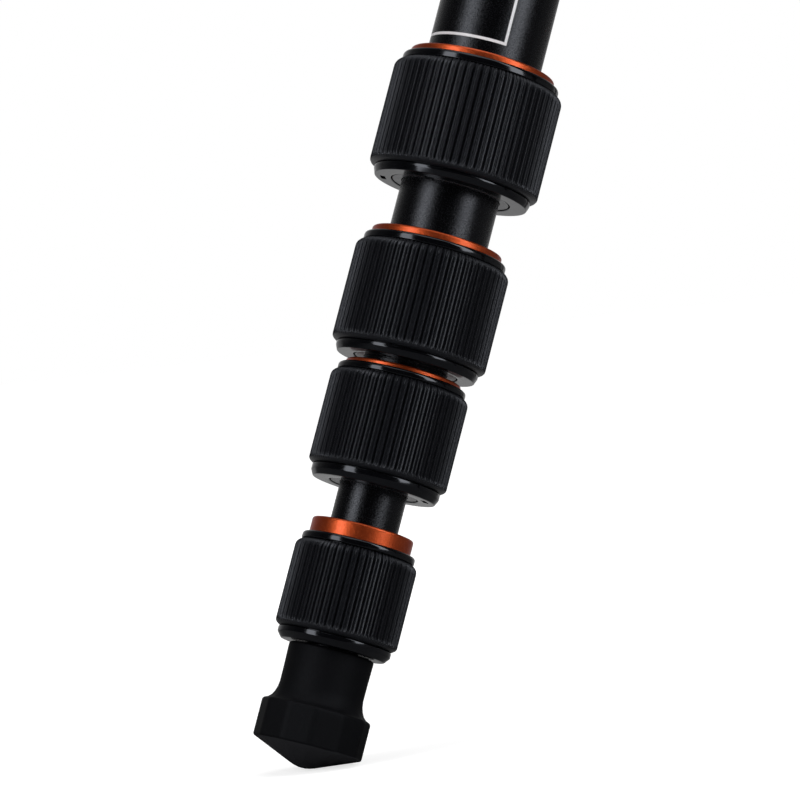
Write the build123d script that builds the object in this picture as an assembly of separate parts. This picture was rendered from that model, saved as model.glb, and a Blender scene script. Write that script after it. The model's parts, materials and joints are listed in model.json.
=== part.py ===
from build123d import *

import os
from math import cos, pi, radians, sin, tan

# A compact travel tripod: three five-section legs with ribbed twist locks, a central casting and a rising column.
# Millimetres, +Z up. The origin lies on the ground, under the column's axis.
# Leg a points to -Y. Each leg is modelled hanging straight down from its hinge axis, with X outwards and Y along
# the hinge axis, and is then swung out and turned to its place. Heights along a leg are counted up from its tip.

# The tripod as a whole
LEG_SPREAD = 22.5          # degrees from upright at the first stop
LEG_LENGTH = 325.0         # hinge axis to the tip of the foot
HINGE_RADIUS = 33.0        # hinge axis to the column's axis
LEG_AZIMUTHS = {"a": -90.0, "b": 30.0, "c": 150.0}
SOLE_ANGLE = 22.5          # slope of the foot's cone, so that it lies flat when the leg is out
SOLE_APEX = -0.5           # where the cone would end if its tip weren't rounded
HINGE_HEIGHT = (LEG_LENGTH - SOLE_APEX) * cos(radians(LEG_SPREAD))

# Leg tubes, outermost first: radius, wall, lower end and upper end above the tip
TUBE_RADII = [11.0, 9.5, 8.0, 6.5, 5.0]
TUBE_WALL = 1.3
TUBE_BOTTOMS = [122.0, 88.0, 63.0, 34.0, 7.0]
TUBE_TOPS = [300.0, 289.5, 287.5, 280.0, 279.0]

# Twist locks 1 to 4, heights above the tip
RING_TOPS = [137.4, 102.3, 76.6, 46.1]
SHELL_TOPS = [136.1, 100.9, 75.7, 43.1]
GRIP_TOPS = [134.5, 99.3, 74.3, 41.6]
GRIP_BOTTOMS = [113.8, 79.5, 55.9, 24.8]
SHELL_BOTTOMS = [112.1, 77.7, 53.6, 22.6]
RING_RADII = [14.0, 12.6, 11.15, 9.75]
SHELL_RADII = [15.2, 13.75, 12.35, 10.85]
GRIP_RADII = [16.35, 14.85, 13.3, 11.7]
RIB_COUNTS = [65, 60, 55, 48]
RING_DEPTH = 6.0           # the flange that dips into the shell
THREAD_LOWS = [3.2, 3.2, 3.2, 5.2]      # sleeve's lower end over the shell's, lock 4 being screwed back
THREAD_OVER_TUBE = 2.0     # threaded sleeve's radius over the tube's
BUSH_WALL = 1.8
BUSH_LENGTH = 8.5
BUSH_SLIT = 2.4
SLIT_ANGLE = 42.0          # about the leg, from its outer side
NOTCH_ANGLES = [-28.0, 69.0, 144.0, 69.0]      # of the hook spanner's notch in each shell's lower face
SLIDE_GAP = 0.15           # radial room between pieces that slide or turn on each other
RIB_DEPTH = 0.62
RIB_SHARE = 0.6            # share of the pitch that the rib's crest takes
GRIP_SEAT = 1.0            # depth of the sleeve's seat in the shell

# Foot
FOOT_RADIUS = 10.5         # over the corners
FOOT_FACETS = 12
FOOT_TURN = 9.0
FOOT_TOP = 22.4
FOOT_NECK = 8.05
FOOT_SHOULDER = 11.0

# Central casting and hinges
HUB_RADIUS = 16.5
HUB_HALF = 13.0
EAR_RADIUS = 9.5
EAR_INNER = 8.3
EAR_OUTER = 12.8
BOLT_RADIUS = 2.9
TONGUE_HALF = 8.0
SOCKET_RADIUS = 13.5
SOCKET_TOP = -20.0
SOCKET_BOTTOM = -48.0
HEEL_TOP = 13.6
TAB_LOW = 9.7
TAB_HIGH = 12.3
TAB_HALF = 5.0
TAB_INNER = -8.0           # drawn out; pushed in by 4.6 its nose meets the hub
TAB_OUTER = 10.0
TAB_FINGER = 2.5           # the wider end that a finger pulls
TAB_LIP = 0.35

# Column, measured from the hinge height
COLUMN_RADIUS = 10.0
COLUMN_WALL = 1.4
COLUMN_BOTTOM = -128.0
COLUMN_RING_TOP = 18.0
COLUMN_SHELL = (15.2, 36.2)
COLUMN_GRIP = (17.2, 34.2)
COLUMN_SHELL_RADIUS = 14.6
COLUMN_GRIP_RADIUS = 15.8
COLUMN_RIBS = 58
PLATE_BOTTOM = 38.0
PLATE_RADIUS = 18.5
PLATE_THICK = 7.0
PAD_THICK = 1.0
STUD_RADIUS = 4.7625       # 3/8 inch head screw
STUD_HEIGHT = 8.0

# Ball head, heights from the hinge height. Its X runs along the knobs and its Y along the camera plate.
HEAD_AZIMUTH = -15.0
HEAD_LOW = 45.6
HEAD_TOP = 76.0
HEAD_RADIUS = 17.6
BALL_RADIUS = 12.5
BALL_HEIGHT = 68.0
STEM_RADIUS = 4.5
KNOB_HEIGHT = 61.5
CLAMP_LOW = 87.2
CLAMP_THICK = 7.0
CLAMP_HALF = 16.0
GROOVE_DEPTH = 3.2
GROOVE_HALF = 11.0
CLAMP_KNOB_HEIGHT = 89.9
CAMERA_SCREW_RADIUS = 3.175
CAMERA_SCREW_SHANK = 2.8


def turned(points):
    """A solid of revolution about Z from (radius, height) points."""
    line = Polyline(*[(r, 0, z) for r, z in points], close=True)
    return revolve(make_face(line), Axis.Z)


def ring(outer, inner, low, high):
    """A plain tube or washer."""
    return turned([(inner, low), (outer, low), (outer, high), (inner, high)])


def rounded_ring(outer, inner, low, high, top_round, bottom_chamfer):
    """A ring with a rounded upper edge and a chamfered lower edge, its corners given by points on the arc."""
    c = bottom_chamfer
    k = top_round * (1 - cos(pi / 4))
    points = [(inner, low), (outer - c, low), (outer, low + c), (outer, high - top_round)]
    points += [(outer - k, high - k), (outer - top_round, high), (inner, high)]
    return turned(points)


def ribbed_sleeve(radius, inner, low, high, ribs):
    """A rubber sleeve with straight ribs that run out on a rounded top and a chamfered foot."""
    pitch = 2 * pi / ribs
    crest = pitch * RIB_SHARE / 2
    root = crest + pitch * 0.06
    points = []
    for n in range(ribs):
        for r, a in ((radius, -crest), (radius, crest), (radius - RIB_DEPTH, root), (radius - RIB_DEPTH, pitch - root)):
            points.append((r * cos(n * pitch + a), r * sin(n * pitch + a)))
    outline = make_face(Polyline(*points, close=True))
    block = Pos(0, 0, low) * extrude(outline, high - low)
    top_round, foot = 1.3, 1.1
    envelope = turned([
        (inner, low), (radius - 1.0, low), (radius + 0.05, low + foot), (radius + 0.05, high - top_round),
        (radius - 0.35, high - 0.42), (radius - 1.15, high), (inner, high),
    ])
    return block & envelope


def lock_collar(n):
    """The anodised collar bonded on the end of tube n: a bright flange above a threaded sleeve."""
    tube, edge, top = TUBE_RADII[n], RING_RADII[n], RING_TOPS[n]
    thread = tube + THREAD_OVER_TUBE
    bush_room = TUBE_RADII[n + 1] + BUSH_WALL + 2 * SLIDE_GAP
    seat = TUBE_BOTTOMS[n]
    low = SHELL_BOTTOMS[n] + THREAD_LOWS[n]
    round_edge = 0.5
    return turned([
        (bush_room, low), (thread - 0.6, low), (thread, low + 0.8), (thread, top - RING_DEPTH),
        (edge, top - RING_DEPTH), (edge, top - round_edge), (edge - 0.15, top - 0.15), (edge - round_edge, top),
        (tube, top), (tube, seat), (bush_room, seat),
    ])


def lock_shell(n):
    """The turning shell of lock n, with a seat for the rubber sleeve and a lip round the tube below."""
    outer, top, low = SHELL_RADII[n], SHELL_TOPS[n], SHELL_BOTTOMS[n]
    thread = TUBE_RADII[n] + THREAD_OVER_TUBE + SLIDE_GAP
    mouth = RING_RADII[n] + SLIDE_GAP
    lip = TUBE_RADII[n + 1] + BUSH_WALL + 2 * SLIDE_GAP
    seat = GRIP_RADII[n] - RIB_DEPTH - GRIP_SEAT
    edge = 0.55
    mouth_floor = RING_TOPS[n] - RING_DEPTH - 3.0
    body = turned([
        (lip, low), (outer - 0.4, low), (outer, low + 1.1), (outer, GRIP_BOTTOMS[n] - 0.1),
        (seat, GRIP_BOTTOMS[n] - 0.1), (seat, GRIP_TOPS[n] + 0.05), (outer, GRIP_TOPS[n] + 0.05),
        (outer, top - edge), (outer - 0.16, top - 0.16), (outer - edge, top), (mouth, top),
        (mouth, mouth_floor), (thread, mouth_floor), (thread, low + 2.6), (lip, low + 2.6),
    ])
    middle = (outer - 0.4 + lip) / 2
    return body - Rot(0, 0, NOTCH_ANGLES[n]) * Pos(middle, 0, low) * Box(1.0, 2.8, 1.4)


def lock_grip(n):
    """The ribbed rubber sleeve of lock n."""
    inner = GRIP_RADII[n] - RIB_DEPTH - GRIP_SEAT
    return ribbed_sleeve(GRIP_RADII[n], inner, GRIP_BOTTOMS[n], GRIP_TOPS[n], RIB_COUNTS[n])


def lock_bush(n):
    """The split, tapered bush that grips tube n + 1 when the lock is turned home."""
    inner = TUBE_RADII[n + 1] + SLIDE_GAP
    outer = TUBE_RADII[n + 1] + BUSH_WALL
    low = SHELL_BOTTOMS[n] + 0.15
    high = low + BUSH_LENGTH
    body = turned([(inner, low), (outer, low), (outer, high - 3.0), (outer - 0.7, high), (inner, high)])
    slit = Rot(0, 0, SLIT_ANGLE) * Pos(outer, 0, (low + high) / 2) * Box(2 * outer, BUSH_SLIT, 2 * (high - low))
    return body - slit


def leg_tube(n):
    """Section n of the leg. The last one is closed by the foot, the others are open for the next."""
    radius = TUBE_RADII[n]
    return ring(radius, radius - TUBE_WALL, TUBE_BOTTOMS[n], TUBE_TOPS[n])


def foot():
    """A moulded rubber foot: a round neck that flares to a faceted body with a shallow cone below."""
    reach = FOOT_RADIUS + 0.6
    edge = SOLE_APEX + reach * tan(radians(SOLE_ANGLE))
    tip = 2.4
    tip_height = SOLE_APEX + tip * tan(radians(SOLE_ANGLE))
    profile = [(0, 0), (tip * 0.5, 0.12), (tip, tip_height), (reach, edge), (reach, FOOT_SHOULDER - 0.6)]
    profile += [(reach - 0.8, FOOT_SHOULDER + 0.1)]
    sweep = 6
    flare = 2.3
    start_r, start_z = FOOT_NECK + flare * 0.72, FOOT_SHOULDER + 0.5
    for i in range(sweep + 1):
        a = radians(90) * i / sweep
        r = FOOT_NECK + (start_r - FOOT_NECK) * (1 - sin(a))
        z = start_z + flare * 1.25 * (1 - cos(a))
        profile.append((r, z))
    profile += [(FOOT_NECK + 0.1, FOOT_TOP), (0, FOOT_TOP)]
    body = turned(profile)
    facets = extrude(RegularPolygon(FOOT_RADIUS, FOOT_FACETS), FOOT_TOP + 2)
    facets = fillet(facets.edges().filter_by(Axis.Z), 1.0)
    body &= Rot(0, 0, FOOT_TURN) * Pos(0, 0, -1) * facets
    bore = TUBE_RADII[4]
    return body - Pos(0, 0, (TUBE_BOTTOMS[4] + FOOT_TOP + 1) / 2) * Cylinder(bore, FOOT_TOP + 1 - TUBE_BOTTOMS[4])


def along_y(radius, low, high):
    """A cylinder on the hinge axis between two Y values."""
    return Pos(0, (low + high) / 2, 0) * Rot(90, 0, 0) * Cylinder(radius, high - low)


def yoke():
    """The casting at a leg's head: an eye on the hinge, a heel for the angle stop and a socket for the first tube."""
    eye = along_y(EAR_RADIUS, -TONGUE_HALF, TONGUE_HALF)
    neck = Pos(0, 0, SOCKET_TOP / 2) * Box(2 * EAR_RADIUS - 1, 2 * TONGUE_HALF, -SOCKET_TOP)
    heel = Pos(-0.6, 0, HEEL_TOP / 2 + 2) * Box(6.8, 2 * TONGUE_HALF, HEEL_TOP - 4)
    shoulder = turned([(0, -10.8), (8.0, -10.8), (12.2, -17.0), (SOCKET_RADIUS, SOCKET_TOP), (0, SOCKET_TOP)])
    keep = Pos(0, 0, -15) * Box(2 * SOCKET_RADIUS, 2 * SOCKET_RADIUS, 20)
    clear = along_y(EAR_RADIUS + 1.0, -2 * SOCKET_RADIUS, 2 * SOCKET_RADIUS)
    socket = rounded_ring(SOCKET_RADIUS, 0, SOCKET_BOTTOM, SOCKET_TOP, 0.01, 0.8)
    body = eye + neck + heel + ((shoulder & keep) - clear) + socket
    body -= Pos(0, 0, SOCKET_BOTTOM) * Cylinder(TUBE_RADII[0], 2 * (LEG_LENGTH - TUBE_TOPS[0] - 2 + SOCKET_BOTTOM) * -1)
    body -= along_y(BOLT_RADIUS + SLIDE_GAP, -20, 20)
    slot_low, slot_high = TAB_LOW - SLIDE_GAP, TAB_HIGH + SLIDE_GAP
    body -= Pos(0, 0, (slot_low + slot_high) / 2) * Box(30, 2 * TAB_HALF + 2 * SLIDE_GAP, slot_high - slot_low)
    return body


def angle_tab():
    """The sliding stop in the heel, drawn out. Pushed in, its nose meets the hub and holds the leg at its first angle."""
    middle = (TAB_LOW + TAB_HIGH) / 2
    thick = TAB_HIGH - TAB_LOW
    stem = Pos((TAB_INNER + TAB_OUTER) / 2, 0, middle) * Box(TAB_OUTER - TAB_INNER, 2 * TAB_HALF, thick)
    grip = Pos(TAB_OUTER - TAB_FINGER / 2, 0, middle) * Box(TAB_FINGER, 2 * TONGUE_HALF - 1, thick + 2 * TAB_LIP)
    grip = chamfer(grip.edges().filter_by(Axis.X), 0.7)
    return stem + grip


def in_leg(shape):
    """From heights above the tip to the leg's own frame, whose origin is on the hinge axis."""
    return Pos(0, 0, -LEG_LENGTH) * shape


def at_leg(shape, key):
    """Swings a leg's piece out and carries it to its place round the column."""
    place = Rot(0, 0, LEG_AZIMUTHS[key]) * Pos(HINGE_RADIUS, 0, HINGE_HEIGHT) * Rot(0, -LEG_SPREAD, 0)
    return place * shape


def at_column(shape):
    """From heights over the hinges to heights over the ground."""
    return Pos(0, 0, HINGE_HEIGHT) * shape


def hub():
    """The central casting: a bored hub with three pairs of ears."""
    body = rounded_ring(HUB_RADIUS, 0, -HUB_HALF, HUB_HALF, 1.2, 1.5)
    width = HINGE_RADIUS - 8.0
    for azimuth in LEG_AZIMUTHS.values():
        for side in (-1, 1):
            low, high = sorted((side * EAR_INNER, side * EAR_OUTER))
            plate = Pos(8.0 + width / 2, (low + high) / 2, 0) * Box(width, high - low, 2 * EAR_RADIUS)
            plate += Pos(HINGE_RADIUS, 0, 0) * along_y(EAR_RADIUS, low, high)
            plate -= Pos(HINGE_RADIUS, 0, 0) * along_y(BOLT_RADIUS, -20, 20)
            body += Rot(0, 0, azimuth) * plate
    return body - Cylinder(COLUMN_RADIUS + SLIDE_GAP, 60)


def hinge_bolts():
    """Three bolts with domed heads, one through each pair of ears."""
    bolts = []
    head = 4.6
    for azimuth in LEG_AZIMUTHS.values():
        bolt = along_y(BOLT_RADIUS, -EAR_OUTER, EAR_OUTER)
        for side in (-1, 1):
            low, high = sorted((side * EAR_OUTER, side * (EAR_OUTER + 2.2)))
            cap = along_y(head, low, high)
            outer_rim = cap.edges().filter_by(GeomType.CIRCLE).sort_by(Axis.Y)[-1 if side > 0 else 0]
            cap = chamfer(outer_rim, 0.7)
            cap -= Pos(0, side * (EAR_OUTER + 2.2), 0) * Rot(90, 0, 0) * extrude(RegularPolygon(2.3, 6), 1.4, both=True)
            bolt += cap
        bolts.append(Rot(0, 0, azimuth) * Pos(HINGE_RADIUS, 0, 0) * bolt)
    return Compound(children=[at_column(b) for b in bolts])


def column_collar():
    """The bright collar under the column's lock."""
    thread = COLUMN_RADIUS + 2.2
    edge = 13.6
    return turned([
        (COLUMN_RADIUS + SLIDE_GAP, HUB_HALF), (edge, HUB_HALF), (edge, COLUMN_RING_TOP), (thread, COLUMN_RING_TOP),
        (thread, COLUMN_SHELL[1] - 6.0), (COLUMN_RADIUS + SLIDE_GAP, COLUMN_SHELL[1] - 6.0),
    ])


def column_shell():
    """The turning shell of the column's lock."""
    low, top = COLUMN_SHELL
    outer, mouth = COLUMN_SHELL_RADIUS, 13.6 + SLIDE_GAP
    thread = COLUMN_RADIUS + 2.2 + SLIDE_GAP
    seat = COLUMN_GRIP_RADIUS - RIB_DEPTH - 0.9
    lip = COLUMN_RADIUS + SLIDE_GAP
    return turned([
        (mouth, low), (outer, low), (outer, COLUMN_GRIP[0] - 0.1), (seat, COLUMN_GRIP[0] - 0.1),
        (seat, COLUMN_GRIP[1] + 0.1), (outer, COLUMN_GRIP[1] + 0.1), (outer, top - 1.2), (outer - 1.2, top),
        (lip, top), (lip, top - 3.0), (thread, top - 3.0), (thread, COLUMN_RING_TOP + 0.3),
        (mouth, COLUMN_RING_TOP + 0.3),
    ])


def column_plate():
    """The head plate, with a spigot that is pressed into the column and a recess for the pad."""
    top = PLATE_BOTTOM + PLATE_THICK
    bore = COLUMN_RADIUS - COLUMN_WALL
    body = rounded_ring(PLATE_RADIUS, 0, PLATE_BOTTOM, top, 0.8, 2.5)
    body += Pos(0, 0, PLATE_BOTTOM - 7) * Cylinder(bore, 14)
    body -= ring(PLATE_RADIUS - 2.2, STUD_RADIUS + 3.0, top - 0.6, top + 1)
    body -= Pos(0, 0, top - 8) * Cylinder(STUD_RADIUS, 20)
    return body


def head_screw():
    """The 3/8 inch screw that a tripod head screws on to, held in the plate by its thread."""
    top = PLATE_BOTTOM + PLATE_THICK + STUD_HEIGHT
    low = PLATE_BOTTOM - 8.0
    return turned([(0, low), (STUD_RADIUS, low), (STUD_RADIUS, top - 1.0), (STUD_RADIUS - 1.0, top), (0, top)])


def column_cap():
    """The plug in the column's lower end, with a lug for the weight ring."""
    bore = COLUMN_RADIUS - COLUMN_WALL
    low = COLUMN_BOTTOM - 5.0
    body = turned([(0, low), (9.0, low), (10.6, low + 1.6), (10.6, COLUMN_BOTTOM), (bore, COLUMN_BOTTOM)]
                  + [(bore, COLUMN_BOTTOM + 10.0), (0, COLUMN_BOTTOM + 10.0)])
    lug = Pos(0, 0, low - 3.0) * Box(7.0, 4.0, 7.0)
    lug -= Pos(0, 0, low - 3.6) * Rot(90, 0, 0) * Cylinder(1.75, 10)
    return body + lug


def weight_ring():
    """A wire ring that hangs in the cap's lug, for a bag or a weight."""
    wire, loop = 1.45, 8.5
    centre = COLUMN_BOTTOM - 5.0 - 3.6 - loop
    return Pos(0, 0, centre) * Rot(0, 90, 0) * Torus(loop, wire)


def knob(radius, start, length, stem, stem_start, lobes):
    """A knurled clamp knob on the X axis, with its screw reaching inwards."""
    grip = rounded_ring(radius, 0, start, start + length, 0.9, 0.9)
    for n in range(lobes):
        spot = Rot(0, 0, 360 * n / lobes) * Pos(radius + 1.35, 0, start + length * 0.62)
        grip -= spot * Cylinder(2.2, length * 1.2)
    grip += turned([(0, start - 1.5), (radius * 0.62, start - 1.5), (radius * 0.62, start), (0, start)])
    grip += Pos(0, 0, (stem_start + start) / 2) * Cylinder(stem, start - stem_start)
    return Rot(0, 90, 0) * grip


def at_head(shape):
    """Turns a piece of the head to its place over the column."""
    return at_column(Rot(0, 0, HEAD_AZIMUTH) * shape)


def head_housing():
    """The ball's housing, which pans on the plate: a notched rim for the stem and a bore for the clamp knob."""
    wide, waist = HEAD_RADIUS, HEAD_RADIUS - 1.3
    body = turned([
        (0, HEAD_LOW), (wide - 0.8, HEAD_LOW), (wide, HEAD_LOW + 0.8), (wide, 51.0), (waist, 52.2), (waist, 53.0),
        (wide, 54.2), (wide, HEAD_TOP - 4.0), (wide - 0.5, HEAD_TOP - 2.4), (wide - 2.2, HEAD_TOP - 0.7),
        (wide - 4.4, HEAD_TOP), (0, HEAD_TOP),
    ])
    body -= Pos(0, 0, BALL_HEIGHT) * Sphere(BALL_RADIUS + SLIDE_GAP)
    body -= Pos(0, 0, HEAD_LOW) * Cylinder(STUD_RADIUS + SLIDE_GAP, 2 * (54.0 - HEAD_LOW))
    notch = STEM_RADIUS + 0.4
    body -= Pos(0, 12, BALL_HEIGHT) * Rot(90, 0, 0) * Cylinder(notch, 24)
    body -= Pos(0, 12, BALL_HEIGHT + 6) * Box(2 * notch, 24, 12)
    body -= Pos(16, 0, KNOB_HEIGHT) * Rot(0, 90, 0) * Cylinder(3.0 + SLIDE_GAP, 12)
    return body


def head_ball():
    """The ball and its stem, with a spigot that is screwed into the clamp."""
    ball = Pos(0, 0, BALL_HEIGHT) * Sphere(BALL_RADIUS)
    stem = Pos(0, 0, (BALL_HEIGHT + CLAMP_LOW) / 2) * Cylinder(STEM_RADIUS, CLAMP_LOW - BALL_HEIGHT)
    spigot = Pos(0, 0, CLAMP_LOW + 1.2) * Cylinder(3.2, 2.4)
    return ball + stem + spigot


def dovetail(half, low, high, length):
    """A bar along Y that is wider below than above."""
    under = half + (high - low) * 0.5
    shape = Polyline((-under, 0, low), (under, 0, low), (half, 0, high), (-half, 0, high), close=True)
    return Pos(0, length / 2, 0) * extrude(make_face(shape), length, dir=(0, -1, 0))


def rounded_block(half_x, half_y, low, high, radius):
    """A block whose upright edges are rounded."""
    block = Pos(0, 0, (low + high) / 2) * Box(2 * half_x, 2 * half_y, high - low)
    return fillet(block.edges().filter_by(Axis.Z), radius)


def head_clamp():
    """The camera clamp on the ball, with its dovetail groove."""
    top = CLAMP_LOW + CLAMP_THICK
    body = rounded_block(CLAMP_HALF, CLAMP_HALF, CLAMP_LOW, top, 5.0)
    body = chamfer(body.edges().group_by(Axis.Z)[0], 0.9)
    body -= dovetail(GROOVE_HALF, top - GROOVE_DEPTH, top + 0.01, 40)
    body -= Pos(0, 0, CLAMP_LOW) * Cylinder(3.2, 4.8)
    return body - Pos(CLAMP_HALF, 0, CLAMP_KNOB_HEIGHT) * Rot(0, 90, 0) * Cylinder(1.5 + SLIDE_GAP, 8)


def camera_plate():
    """The plate in the clamp, its rubber pad and the quarter inch camera screw."""
    top = CLAMP_LOW + CLAMP_THICK
    tongue = dovetail(GROOVE_HALF - 0.3, top - GROOVE_DEPTH + 0.15, top + 0.2, 2 * CLAMP_HALF)
    body = rounded_block(CLAMP_HALF, CLAMP_HALF, top + 0.2, top + 3.6, 5.0)
    body = chamfer(body.edges().group_by(Axis.Z)[-1], 0.6) + tongue
    body -= Pos(0, 0, top) * Cylinder(CAMERA_SCREW_SHANK, 20)
    pad_low = top + 3.0
    recess = rounded_block(CLAMP_HALF - 2.2, CLAMP_HALF - 2.2, pad_low, pad_low + 1.4, 3.5)
    body -= recess
    pad = recess - Pos(0, 0, pad_low) * Cylinder(CAMERA_SCREW_RADIUS + 1.2, 10)
    screw = turned([
        (0, top - 2.6), (CAMERA_SCREW_SHANK, top - 2.6), (CAMERA_SCREW_SHANK, top + 4.4),
        (CAMERA_SCREW_RADIUS, top + 4.4), (CAMERA_SCREW_RADIUS, top + 8.6),
        (CAMERA_SCREW_RADIUS - 0.7, top + 9.3), (0, top + 9.3),
    ])
    return [body, pad, screw]


def write(name, shape):
    export_step(shape, f"parts/{name}.step")


def write_leg(key, tubes, collars, shells, grips, bushes, sole, head, tab):
    """Leg a has a node for every piece. On the others the pieces that never part share a node."""
    place = lambda shape: at_leg(shape, key)
    low = lambda shape: at_leg(in_leg(shape), key)
    name = f"leg_{key}_"
    write(name + "yoke", place(head))
    write(name + "angle_tab", place(tab))
    write(name + "foot", low(sole))
    for n in range(5):
        if key == "a":
            write(f"{name}tube_{n + 1}", low(tubes[n]))
        else:
            pieces = [tubes[n]] + ([collars[n], bushes[n]] if n < 4 else [])
            write(f"{name}tube_{n + 1}", Compound(children=[low(p) for p in pieces]))
    for n in range(4):
        if key == "a":
            write(f"{name}lock_{n + 1}_collar", low(collars[n]))
            write(f"{name}lock_{n + 1}_shell", low(shells[n]))
            write(f"{name}lock_{n + 1}_grip", low(grips[n]))
            write(f"{name}lock_{n + 1}_bush", low(bushes[n]))
        else:
            write(f"{name}lock_{n + 1}", Compound(children=[low(shells[n]), low(grips[n])]))


def main():
    os.makedirs("parts", exist_ok=True)
    locks = range(4)
    pieces = [
        [leg_tube(n) for n in range(5)], [lock_collar(n) for n in locks], [lock_shell(n) for n in locks],
        [lock_grip(n) for n in locks], [lock_bush(n) for n in locks], foot(), yoke(), angle_tab(),
    ]
    for key in LEG_AZIMUTHS:
        write_leg(key, *pieces)
    sleeve_inner = COLUMN_GRIP_RADIUS - RIB_DEPTH - 0.9
    sleeve = ribbed_sleeve(COLUMN_GRIP_RADIUS, sleeve_inner, *COLUMN_GRIP, COLUMN_RIBS)
    tube = ring(COLUMN_RADIUS, COLUMN_RADIUS - COLUMN_WALL, COLUMN_BOTTOM, PLATE_BOTTOM)
    pad_low = PLATE_BOTTOM + PLATE_THICK - 0.6
    pad = ring(PLATE_RADIUS - 2.2, STUD_RADIUS + 3.0, pad_low, pad_low + PAD_THICK)
    write("hub", Compound(children=[at_column(hub()), at_column(column_collar())]))
    write("hinge_bolts", hinge_bolts())
    write("column_lock", Compound(children=[at_column(column_shell()), at_column(sleeve)]))
    write("column_tube", at_column(tube))
    write("column_cap", at_column(column_cap()))
    write("weight_ring", at_column(weight_ring()))
    write("head_plate", Compound(children=[at_column(p) for p in (column_plate(), pad, head_screw())]))
    write("head_housing", at_head(head_housing()))
    write("head_clamp", Compound(children=[at_head(head_ball()), at_head(head_clamp())]))
    write("camera_plate", Compound(children=[at_head(p) for p in camera_plate()]))
    write("head_knob", at_head(Pos(0, 0, KNOB_HEIGHT) * knob(8.0, 20.0, 12.0, 3.0, 13.4, 10)))
    write("clamp_knob", at_head(Pos(0, 0, CLAMP_KNOB_HEIGHT) * knob(5.2, 18.0, 8.5, 1.5, 12.6, 8)))


main()
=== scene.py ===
# A compact travel tripod, seen close by the lower half of one leg: ribbed twist locks with orange collars
# between black tube sections, and a faceted rubber foot. Sizes are in millimetres and become metres where
# a piece is placed.
import json
from math import cos, pi, radians, sin, tan

import bmesh
import bpy
from mathutils import Matrix, Vector

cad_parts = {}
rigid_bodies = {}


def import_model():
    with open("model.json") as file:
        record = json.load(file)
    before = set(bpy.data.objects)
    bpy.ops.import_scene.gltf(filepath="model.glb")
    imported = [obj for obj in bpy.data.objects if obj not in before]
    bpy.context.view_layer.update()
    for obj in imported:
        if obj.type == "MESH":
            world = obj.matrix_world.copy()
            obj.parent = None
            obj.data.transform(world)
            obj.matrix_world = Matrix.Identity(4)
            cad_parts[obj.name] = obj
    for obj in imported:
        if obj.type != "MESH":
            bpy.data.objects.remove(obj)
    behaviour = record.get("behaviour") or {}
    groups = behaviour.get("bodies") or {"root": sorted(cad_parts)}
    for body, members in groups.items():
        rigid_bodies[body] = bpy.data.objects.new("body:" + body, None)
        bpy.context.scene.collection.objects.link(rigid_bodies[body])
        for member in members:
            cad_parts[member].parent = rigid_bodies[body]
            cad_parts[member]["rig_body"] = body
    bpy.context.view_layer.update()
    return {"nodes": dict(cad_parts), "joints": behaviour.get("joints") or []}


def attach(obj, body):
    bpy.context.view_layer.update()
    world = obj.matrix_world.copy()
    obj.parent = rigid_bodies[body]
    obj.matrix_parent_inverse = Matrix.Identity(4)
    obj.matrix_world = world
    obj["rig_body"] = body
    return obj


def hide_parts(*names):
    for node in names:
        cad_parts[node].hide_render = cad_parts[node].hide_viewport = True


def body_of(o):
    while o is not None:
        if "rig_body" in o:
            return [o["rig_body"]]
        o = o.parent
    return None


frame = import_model()
nodes = frame["nodes"]
joints = {joint["name"]: joint for joint in frame["joints"]}


# Where each leg stands
# A leg hangs on a bolt between two ears of the hub. Its pieces are turned on the leg's own axis, with the
# foot's tip at the origin, Z up the leg, X outwards and Y along the bolt. The frame's joints say where
# that axis runs.
LEG_LENGTH = 325.0
LEGS = "abc"


def leg_place(leg):
    """The matrix that puts a form made in a leg's own axes, in mm, in its place in metres."""
    swing, slide = joints[f"leg_{leg}_swing"], joints[f"leg_{leg}_extend_2"]
    up = -Vector(slide["axis"]).normalized()
    along_bolt = Vector(swing["axis"]).normalized()
    outwards = along_bolt.cross(up)
    tip = Vector(swing["pos_m"]) - up * LEG_LENGTH * 0.001
    turned = Matrix((outwards, along_bolt, up)).transposed().to_4x4()
    return Matrix.Translation(tip) @ turned @ Matrix.Scale(0.001, 4)


PLACES = {leg: leg_place(leg) for leg in LEGS}
ON_COLUMN = Matrix.Translation((0, 0, joints["leg_a_swing"]["pos_m"][2])) @ Matrix.Scale(0.001, 4)
# Azimuth, in a leg's own frame, of the side that the photograph shows
FRONT = 69.0


# Leg tubes
# Five drawn aluminium tubes slide in one another. They are bead-blasted and anodised black, which leaves
# a fine grain that sparkles a little in the light, and the widest one carries a thin printed frame.
TUBE_RADII = [11.0, 9.5, 8.0, 6.5, 5.0]
TUBE_WALL = 1.3
TUBE_BOTTOMS = [122.0, 88.0, 63.0, 34.0, 7.0]
TUBE_TOPS = [300.0, 289.5, 287.5, 280.0, 279.0]


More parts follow.
